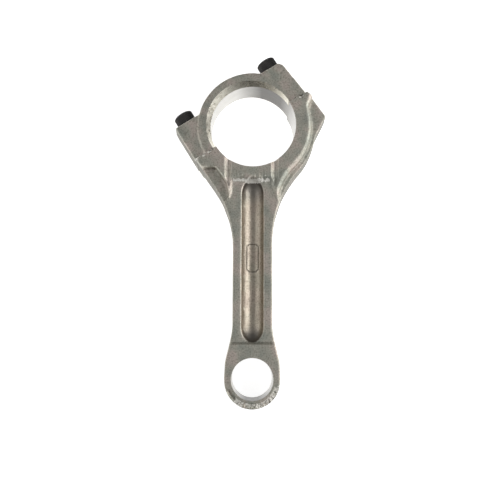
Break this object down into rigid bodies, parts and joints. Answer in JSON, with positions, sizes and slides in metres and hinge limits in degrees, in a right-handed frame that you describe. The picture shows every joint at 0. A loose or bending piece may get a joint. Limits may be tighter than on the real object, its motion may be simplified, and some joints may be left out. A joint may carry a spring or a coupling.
{
  "type": "connecting rod",
  "caption": "Cast connecting rod of a small engine, with a channelled beam and an obliquely split big end whose bearing cap is held by socket-head cap screws.",
  "frame": {"origin": "below the middle of the whole part's box, on the face it lies on", "axes": "+Y along the rod from the small end to the big end, +Z along both bores, +X across the rod so that the cap slants down to the left"},
  "size_m": [0.0644, 0.1508, 0.024],
  "materials": {
    "cast_aluminium": "satin die-cast skin, with bores and joint faces machined brighter",
    "black_oxide_steel": "black oxide"
  },
  "bodies": {
    "rod": {"rod_body": "cast_aluminium"},
    "cap": {"bearing_cap": "cast_aluminium"},
    "left_screw": {"cap_screw_left": "black_oxide_steel"},
    "right_screw": {"cap_screw_right": "black_oxide_steel"}
  },
  "joints": [
    {"name": "cap_lift", "type": "slide", "parent": "rod", "child": "cap", "axis": [-0.5299, 0.848, 0], "range_m": [0, 0.03]},
    {"name": "left_screw_draw", "type": "slide", "parent": "cap", "child": "left_screw", "axis": [-0.5299, 0.848, 0], "range_m": [0, 0.034]},
    {"name": "right_screw_draw", "type": "slide", "parent": "cap", "child": "right_screw", "axis": [-0.5299, 0.848, 0], "range_m": [0, 0.034]}
  ]
}
